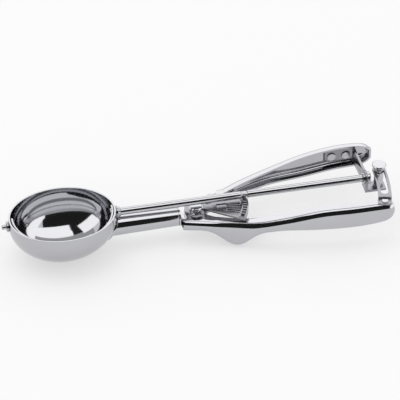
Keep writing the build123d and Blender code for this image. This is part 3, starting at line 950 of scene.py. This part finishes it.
    def face_outwards(self, piece: Piece) -> None:
        """Turns the open skin's faces away from the rod, so that its wall goes inwards.

        Args:
            piece: The channel.
        """
        Bench.recalculate(piece)
        outermost = max(piece.data.polygons, key=lambda f: abs(f.center.y) - abs(f.normal.x))
        if outermost.normal.y * self.side.value < 0:
            Bench.edit(piece, whole=True)
            bpy.ops.mesh.flip_normals()
            Bench.leave_edit()

    def build(self, name: str) -> Piece:
        """Draws the channel, closes its end and gives the sheet its thickness.

        Args:
            name: The piece's name.

        Returns:
            The object.
        """
        piece = self.section(name)
        self.sweep(piece)
        self.close_end(piece)
        self.face_outwards(piece)
        Bench.thicken(piece, self.sheet)
        Bench.soften(piece, self.edge, CHANNEL_ANGLE, self.edge_segments)
        return piece

    def peg(self, name: str) -> Piece:
        """The peg on the web that holds the return spring's end.

        Args:
            name: The piece's name.

        Returns:
            The object.
        """
        foot = self.web_at(self.peg_x) - self.side.value * self.sheet * self.peg_seat
        tip = foot - self.side.value * self.peg_length
        start, end = ((self.peg_x, y, ROD_Z - self.peg_drop) for y in (foot, tip))
        return Bench.turned(name, start, end, self.peg_radius, self.peg_edge)


@dataclass
class Handles:
    """The two handles and the lever's ears.

    The ears' arc is the start, end and step of their round end in degrees, and the ears' foot is
    the rest of their outline.
    """

    dressing: Dressing
    fixed_front_x: float = 7.5
    fixed_depth: float = 6.0
    fixed_step: float = 2.0
    fixed_end_round: float = 1.8
    lever_front_x: float = -9.3
    lever_depth: float = 7.1
    lever_step: float = 1.6
    lever_end_round: float = 2.2
    lever_end_trim: float = 1.4
    ear_radius: float = 7.0
    ear_sheet: float = 1.17
    ear_gap: float = 0.03
    ear_arc: tuple[int, int, int] = (-35, 196, 7)
    ear_foot: Curve = ((-9.2, -3.5), (-9.2, -7.0), (2, -9.5), (14, -13.5), (14.5, -9.6))

    PLAN = (
        (-12, 8.0), (-10, 8.4), (10, 14.2), (30, 21.7), (50, 25.8), (70, 28.8), (90, 31.2),
    )
    FIXED_PLAN_END = ((106, 31.2), (110, 30.8), (112.3, 29.7), (113.4, 28.4))
    LEVER_PLAN_END = ((107, 31.2), (111, 31.0), (112.6, 30.5), (113.4, 29.7))
    FIXED_TOP = (
        (-12, FLANGE_TOP), (10, -7.9), (30, -5.2), (50, -1.1), (70, 3.0), (90, 4.4),
        (104, 4.2), (110, 2.8), (113.4, 0.6),
    )
    LEVER_TOP = (
        (-12, FLANGE_TOP), (10, FLANGE_TOP), (30, -6.6), (50, -2.9), (70, 1.2), (90, 2.6),
        (106, 2.6), (111, 2.2), (113.4, 1.0),
    )
    FIXED_BOTTOM = (
        (-12, FLANGE_BOTTOM), (15.5, FLANGE_BOTTOM), (26, -14.2), (38, -13.0), (50, -12.0),
    )
    LEVER_BOTTOM = (
        (-12, FLANGE_BOTTOM), (3, -15.5), (8, -17.0), (12.5, -20.0), (16.5, -22.9),
        (20.8, -24.2), (25, -22.6), (28.5, -19.2), (32, -16.2), (36, -14.0), (41, -13.0),
        (50, -12.2),
    )
    BOTTOM_END = (
        (70, -12.5), (90, -11.8), (104, -11.0), (109, -9.9), (112, -8.0), (113.4, -6.2),
    )

    def fixed(self) -> None:
        """The far handle, riveted to the yoke's arm."""
        channel = HandleChannel(
            Side.FIXED, self.fixed_front_x, self.PLAN + self.FIXED_PLAN_END, self.FIXED_TOP,
            self.FIXED_BOTTOM + self.BOTTOM_END, self.fixed_depth, self.fixed_step,
            self.fixed_end_round,
        )
        pieces = [channel.build("fixed_handle_shell"), channel.peg("fixed_peg")]
        self.dressing.finish(
            Bench.join("fixed_handle_shell", pieces), Slot.POLISHED, Body.ROOT, "fixed_handle",
        )

    def lever(self) -> None:
        """The near handle with its finger stop and its two ears round the pivot."""
        channel = HandleChannel(
            Side.LEVER, self.lever_front_x, self.PLAN + self.LEVER_PLAN_END, self.LEVER_TOP,
            self.LEVER_BOTTOM + self.BOTTOM_END, self.lever_depth, self.lever_step,
            self.lever_end_round, self.lever_end_trim,
        )
        lower = ROD_Z + FLANGE_BOTTOM + self.ear_gap
        upper = ROD_Z + FLANGE_TOP - self.ear_gap - self.ear_sheet
        pieces = [channel.build("lever_handle_shell"), channel.peg("lever_peg")]
        for number, low in enumerate((lower, upper)):
            pieces.append(self.ear(f"lever_ear_{number}", low))
        self.dressing.finish(
            Bench.join("lever_handle_shell", pieces), Slot.POLISHED, Body.LEVER, "lever_handle",
        )

    def ear(self, name: str, low: float) -> Piece:
        """One ear: a plate from the flange to a round end about the pivot, low being its Z."""
        round_end = [polar(self.ear_radius, degrees) for degrees in range(*self.ear_arc)]
        return Bench.plate(name, [*round_end, *self.ear_foot], low, self.ear_sheet)

    def build(self) -> None:
        """Builds both handles."""
        self.fixed()
        self.lever()


@dataclass
class BowlAndNeck:
    """The bowl with its bushes and saddle, the neck tube, and the wiper's blade inside the bowl.

    The blade is drawn at the bowl's bottom and turned to its rest. Its corner sets how far its
    ends are bevelled: 2 leaves them square, and 1 leaves a point.
    """

    dressing: Dressing
    half_length: float = 32.0
    radius: float = 25.0
    sides: int = 144
    rings: int = 96
    wall: float = 1.0
    rim_rise: float = 4.0
    rim_edge: float = 0.34
    rim_segments: int = 4
    blade_gap: float = 1.35
    blade_wall: float = 1.0
    blade_width: float = 10.0
    blade_corner: float = 1.34
    blade_turn: float = -82.0
    blade_edge: float = 0.2
    blade_segments: int = 3
    neck_drop: float = 9.9
    neck_front: float = 6.4
    neck_rear: float = 5.6
    neck_wall: float = 1.0
    neck_front_x: float = -53.5
    neck_rear_x: float = -11.0
    neck_sides: int = 96
    neck_edge: float = 0.3
    bore_overrun: float = 1.0
    saddle_lift: float = 1.24
    saddle_edge: float = 0.12
    bush_edge: float = 0.15

    def spheroid(self, name: str, grown: float) -> Piece:
        """A closed body of the bowl's form, with its poles on the rod's axis.

        Args:
            name: The object's name.
            grown: How far it lies outside the bowl's outer face, in millimetres.

        Returns:
            The object.
        """
        Bench.clear_selection()
        bpy.ops.mesh.primitive_uv_sphere_add(
            segments=self.sides, ring_count=self.rings, radius=MM,
            location=(BOWL_X * MM, 0, ROD_Z * MM), rotation=(0, QUARTER_TURN, 0),
        )
        piece = Bench.named(name)
        radius = self.radius + grown
        piece.scale = (radius, radius, self.half_length + grown)
        Bench.settle(piece)
        return piece

    def bowl(self) -> None:
        """The drawn bowl, with a softly rounded rim."""
        piece = self.spheroid("bowl_shell", 0)
        Bench.cut(piece, (BOWL_X, 0, ROD_Z + self.rim_rise), (0, 0, 1))
        Bench.thicken(piece, self.wall)
        Bench.soften(piece, self.rim_edge, SHEET_ANGLE, self.rim_segments)
        self.dressing.finish(piece, Slot.POLISHED, Body.ROOT, "bowl")

    def blade(self) -> None:
        """The wiper's strip, cut from an inner skin, with bevelled ends."""
        piece = self.spheroid("wiper_strip", -self.blade_gap)
        half = self.blade_width / 2
        corner = half * DIAGONAL * self.blade_corner
        for normal, reach in (
            ((0, 1, 0), half), ((0, -1, 0), half), ((0, 0, 1), half),
            ((0, DIAGONAL, DIAGONAL), corner), ((0, -DIAGONAL, DIAGONAL), corner),
        ):
            point = Vector((BOWL_X, 0, ROD_Z)) + Vector(normal) * reach
            Bench.cut(piece, tuple(point), normal)
        Bench.thicken(piece, self.blade_wall)
        Bench.soften(piece, self.blade_edge, SHEET_ANGLE, self.blade_segments)
        piece.matrix_world = (
            Matrix.Translation((0, 0, ROD_Z * MM))
            @ Matrix.Rotation(math.radians(self.blade_turn), 4, "X")
            @ Matrix.Translation((0, 0, -ROD_Z * MM))
        )
        Bench.settle(piece)
        self.dressing.finish(piece, Slot.BLADE, Body.WIPER, "wiper_blade")

    def neck(self) -> None:
        """The tapered neck tube, cut to the saddle."""
        z = ROD_Z - self.neck_drop
        start, end = (self.neck_front_x, 0, z), (self.neck_rear_x, 0, z)
        tube = Bench.turned(
            "neck_tube_shell", start, end, self.neck_front, self.neck_edge, self.neck_rear,
            self.neck_sides,
        )
        bore = Bench.turned(
            "neck_bore", start, (self.neck_rear_x + self.bore_overrun, 0, z),
            self.neck_front - self.neck_wall, 0, self.neck_rear - self.neck_wall,
            self.neck_sides,
        )
        cutter = self.spheroid("saddle_outside", self.saddle_lift)
        for tool in (bore, cutter):
            Bench.modify(tube, "BOOLEAN", operation="DIFFERENCE", object=tool, solver="EXACT")
            bpy.data.objects.remove(tool)
        Bench.soften(tube, 0, SHEET_ANGLE)
        self.dressing.finish(tube, Slot.POLISHED, Body.ROOT, "neck_tube")

    def build(self) -> None:
        """Builds the bowl end."""
        self.bowl()
        self.blade()
        self.neck()
        for node, slot, body, width in (
            ("front_bush", Slot.BUSH, Body.ROOT, self.bush_edge),
            ("rear_bush", Slot.BUSH, Body.ROOT, self.bush_edge),
            ("bowl_saddle", Slot.POLISHED, Body.ROOT, self.saddle_edge),
            ("front_journal", Slot.POLISHED, Body.WIPER, self.saddle_edge),
        ):
            self.dressing.softened_copy(node, slot, body, width)


@dataclass
class Coil:
    """A spring of round wire, from the middle of its first turn along its axis."""

    start: Point
    axis: Point
    radius: float
    wire: float
    turns: float
    length: float
    wire_sides: int = 14
    turn_steps: int = 28

    def build(self, name: str) -> Piece:
        """Sweeps the wire's round section into a coil.

        Args:
            name: The piece's name.

        Returns:
            The object.
        """
        Bench.clear_selection()
        bpy.ops.mesh.primitive_circle_add(
            vertices=self.wire_sides, radius=self.wire * MM, location=(self.radius * MM, 0, 0),
            rotation=(QUARTER_TURN, 0, 0),
        )
        piece = Bench.named(name)
        Bench.settle(piece)
        steps = int(self.turn_steps * self.turns)
        Bench.modify(
            piece, "SCREW", angle=math.radians(360 * self.turns), screw_offset=self.length * MM,
            iterations=1, steps=steps, render_steps=steps, use_merge_vertices=False, axis="Z",
        )
        Bench.edit(piece, "EDGE")
        bpy.ops.mesh.select_non_manifold()
        bpy.ops.mesh.fill()
        Bench.leave_edit()
        Bench.recalculate(piece)
        turn = Vector(self.axis).to_track_quat("Z", "Y").to_matrix().to_4x4()
        piece.matrix_world = Matrix.Translation(Vector(self.start) * MM) @ turn
        Bench.settle(piece)
        Bench.soften(piece, 0, CHANNEL_ANGLE)
        return piece


@dataclass
class Mechanism:
    """The rod, its bearings, the crown sector, the rivets, the springs and the rear guide.

    The journal starts inside the rod's head and ends inside its front length. The sector's angles
    are about the pivot, in degrees.
    """

    dressing: Dressing
    rod_radius: float = 2.25
    rod_edge: float = 0.25
    head_radius: float = 2.8
    head_length: float = 1.0
    head_edge: float = 0.2
    journal_radius: float = 2.0
    journal_start: float = 0.9
    journal_end_x: float = -44.0
    front_start_x: float = -45.5
    pinion_start: float = 27.05
    pinion_length: float = 4.0
    pinion_overlap: float = 0.05
    pinion_edge: float = 0.06
    pinion_angle: float = 30.0
    spring_wire: float = 0.45
    return_radius: float = 1.8
    return_turns: float = 10
    post_radius: float = 2.8
    post_turns: float = 2.5
    sector_edge: float = 0.08
    web_inner: float = 11.6
    web_outer: float = 26.5
    web_angles: tuple[float, float] = (-25.3, -0.7)
    web_steps: int = 8
    web_drop: float = 5.6
    web_sheet: float = 0.8
    rib_inner: float = 18.0
    rib_radius: float = 0.95
    rib_sides: int = 4
    rib_edge: float = 0.25
    rib_angles: tuple[float, ...] = (-22.6, -17.8, -13.0, -8.2, -3.4)

    def rod(self) -> None:
        """The wiper's rod, in two lengths either side of the pinion cut in it."""
        low, high = (v.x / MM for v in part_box("wiper_rod"))
        pinion_end = self.pinion_start + self.pinion_length
        journal, front = low + self.journal_start, self.front_start_x
        lengths = (
            ("rod_head", low, low + self.head_length, self.head_radius, self.head_edge),
            ("rod_journal", journal, self.journal_end_x, self.journal_radius, 0),
            ("rod_front", front, self.pinion_start, self.rod_radius, self.rod_edge),
            ("rod_rear", pinion_end, high, self.rod_radius, self.rod_edge),
        )
        pieces = [
            Bench.turned(name, (start, 0, ROD_Z), (end, 0, ROD_Z), radius, edge)
            for name, start, end, radius, edge in lengths
        ]
        pinion = self.dressing.copied("pinion", "wiper_rod")
        Bench.recalculate(pinion)
        Bench.cut(pinion, (self.pinion_start - self.pinion_overlap, 0, 0), (-1, 0, 0))
        Bench.cut(pinion, (pinion_end + self.pinion_overlap, 0, 0), (1, 0, 0))
        Bench.soften(pinion, self.pinion_edge, self.pinion_angle)
        self.dressing.finish(
            Bench.join("wiper_rod_turned", [*pieces, pinion]), Slot.POLISHED, Body.WIPER,
            "wiper_rod",
        )

    def return_spring(self) -> None:
        """The spring between the handles' pegs, left on no body."""
        wire = self.spring_wire
        low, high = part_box("return_spring")
        start = ((low.x + high.x) / 2 / MM, low.y / MM + wire, (low.z + high.z) / 2 / MM)
        length = (high.y - low.y) / MM - 2 * wire
        spring = Coil(start, (0, 1, 0), self.return_radius, wire, self.return_turns, length)
        piece = self.dressing.finish(
            spring.build("return_spring_wire"), Slot.SPRING, None, "return_spring",
        )
        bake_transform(piece)

    def post_spring(self) -> None:
        """The small spring round the guide post."""
        wire = self.spring_wire
        low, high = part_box("post_spring")
        start = ((low.x + high.x) / 2 / MM, 0, low.z / MM + wire)
        length = (high.z - low.z) / MM - 2 * wire
        spring = Coil(start, (0, 0, 1), self.post_radius, wire, self.post_turns, length)
        self.dressing.finish(
            spring.build("post_spring_wire"), Slot.SPRING, Body.ROOT, "post_spring",
        )

    def sector(self) -> None:
        """The crown sector with its pressed web, which is ribbed towards the teeth."""
        low, high = self.web_angles
        turns = [low + (high - low) * n / self.web_steps for n in range(self.web_steps + 1)]
        outline = [polar(self.web_inner, a) for a in turns]
        outline += [polar(self.web_outer, a) for a in reversed(turns)]
        pieces = [
            self.dressing.softened_copy("sector_gear", Slot.PRESSED, Body.LEVER, self.sector_edge),
            Bench.plate("sector_web", outline, ROD_Z - self.web_drop, self.web_sheet),
        ]
        height = ROD_Z - self.web_drop + self.web_sheet
        for number, degrees in enumerate(self.rib_angles):
            start = (*polar(self.rib_inner, degrees), height)
            end = (*polar(self.web_outer, degrees), height)
            pieces.append(Bench.turned(
                f"sector_rib_{number}", start, end, self.rib_radius, self.rib_edge,
                sides=self.rib_sides,
            ))
        self.dressing.finish(
            Bench.join("sector_gear_softened", pieces), Slot.PRESSED, Body.LEVER,
        )

    def build(self) -> None:
        """Builds the mechanism."""
        self.rod()
        self.return_spring()
        self.post_spring()
        self.sector()
        root, wiper, lever = Body.ROOT, Body.WIPER, Body.LEVER
        # Each node's finish and body, and the width of its broken edges in millimetres
        for node, slot, body, width in (
            ("rod_cap", Slot.POLISHED, wiper, 0.3), ("rod_bush", Slot.BUSH, root, 0.15),
            ("pivot_yoke", Slot.POLISHED, root, 0.2), ("pivot_rivet", Slot.POLISHED, root, 0.2),
            ("pivot_washers", Slot.POLISHED, root, 0.15),
            ("fixed_handle_rivets", Slot.POLISHED, root, 0.3),
            ("bracket_rivets", Slot.POLISHED, root, 0.3),
            ("rear_bracket", Slot.PRESSED, root, 0.2), ("guide_post", Slot.POLISHED, root, 0.2),
            ("post_nut", Slot.POLISHED, root, 0.12), ("sector_rivets", Slot.POLISHED, lever, 0.2),
            ("guide_strip", Slot.PRESSED, lever, 0.15),
            ("guide_rivet", Slot.POLISHED, lever, 0.2),
        ):
            self.dressing.softened_copy(node, slot, body, width)


def main() -> None:
    """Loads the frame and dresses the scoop."""
    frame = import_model()
    dressing = Dressing(frame)
    BowlAndNeck(dressing).build()
    Handles(dressing).build()
    Mechanism(dressing).build()
    Studio().build()


if __name__ == "__main__":
    main()
